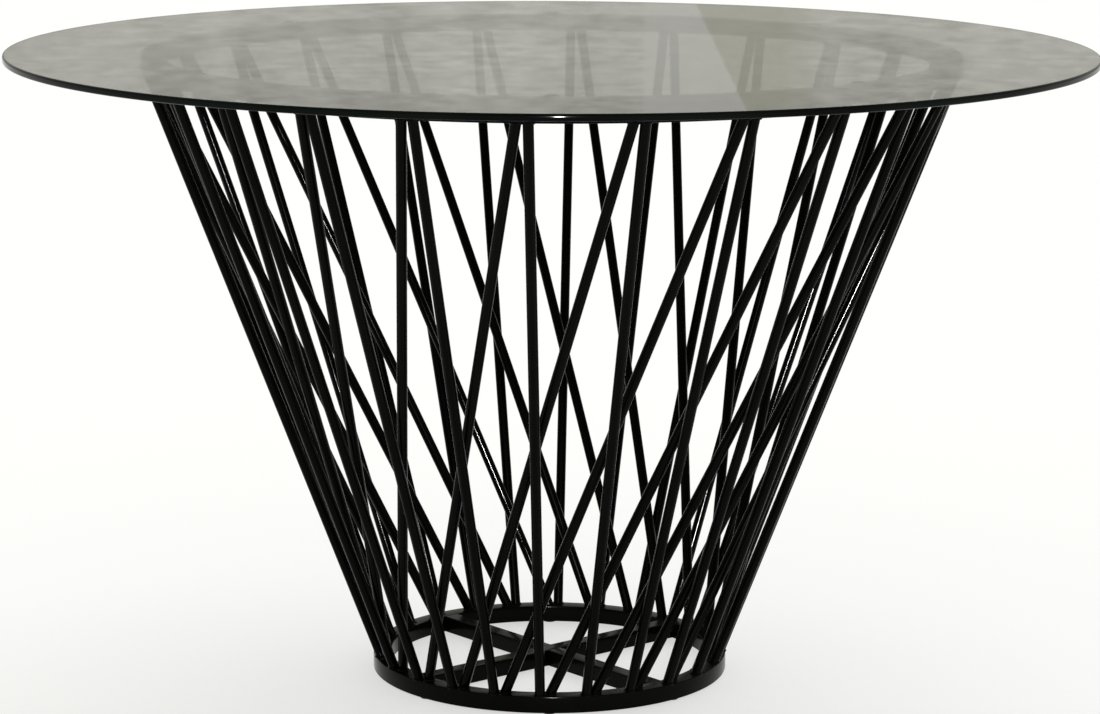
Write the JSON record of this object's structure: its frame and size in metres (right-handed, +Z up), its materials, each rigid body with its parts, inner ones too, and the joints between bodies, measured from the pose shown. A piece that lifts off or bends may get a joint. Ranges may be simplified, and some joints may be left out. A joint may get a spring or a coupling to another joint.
{
  "type": "round glass table",
  "caption": "Round smoked-glass top lying loose on a flared basket of crossed black steel rods, welded between an upper and a lower ring with a cross at the floor.",
  "frame": {"origin": "on the floor, under the centre of the glass", "axes": "+Z up along the table's axis; -Y is the front, towards the picture's camera; +X to that camera's right"},
  "size_m": [1.2998, 1.3, 0.762],
  "materials": {
    "smoked_glass": "polished",
    "black_steel": "gloss",
    "clear_pad": "satin",
    "floor_pad": "matte"
  },
  "bodies": {
    "base": {"glass_pads": "clear_pad", "upper_ring": "black_steel", "upright_rod_01": "black_steel", "raked_rod_01": "black_steel", "upright_rod_02": "black_steel", "raked_rod_02": "black_steel", "upright_rod_03": "black_steel", "raked_rod_03": "black_steel", "upright_rod_04": "black_steel", "raked_rod_04": "black_steel", "upright_rod_05": "black_steel", "raked_rod_05": "black_steel", "upright_rod_06": "black_steel", "raked_rod_06": "black_steel", "upright_rod_07": "black_steel", "raked_rod_07": "black_steel", "upright_rod_08": "black_steel", "raked_rod_08": "black_steel", "upright_rod_09": "black_steel", "raked_rod_09": "black_steel", "upright_rod_10": "black_steel", "raked_rod_10": "black_steel", "upright_rod_11": "black_steel", "raked_rod_11": "black_steel", "upright_rod_12": "black_steel", "raked_rod_12": "black_steel", "upright_rod_13": "black_steel", "raked_rod_13": "black_steel", "upright_rod_14": "black_steel", "raked_rod_14": "black_steel", "upright_rod_15": "black_steel", "raked_rod_15": "black_steel", "upright_rod_16": "black_steel", "raked_rod_16": "black_steel", "upright_rod_17": "black_steel", "raked_rod_17": "black_steel", "upright_rod_18": "black_steel", "raked_rod_18": "black_steel", "upright_rod_19": "black_steel", "raked_rod_19": "black_steel", "upright_rod_20": "black_steel", "raked_rod_20": "black_steel", "upright_rod_21": "black_steel", "raked_rod_21": "black_steel", "upright_rod_22": "black_steel", "raked_rod_22": "black_steel", "upright_rod_23": "black_steel", "raked_rod_23": "black_steel", "upright_rod_24": "black_steel", "raked_rod_24": "black_steel", "lower_ring": "black_steel", "cross_bar_long": "black_steel", "cross_bar_left": "black_steel", "cross_bar_right": "black_steel", "floor_pads": "floor_pad"},
    "glass": {"glass_top": "smoked_glass"}
  },
  "joints": [
    {"name": "glass_lift", "type": "slide", "parent": "base", "child": "glass", "axis": [0, 0, 1], "range_m": [0, 0.25]}
  ]
}
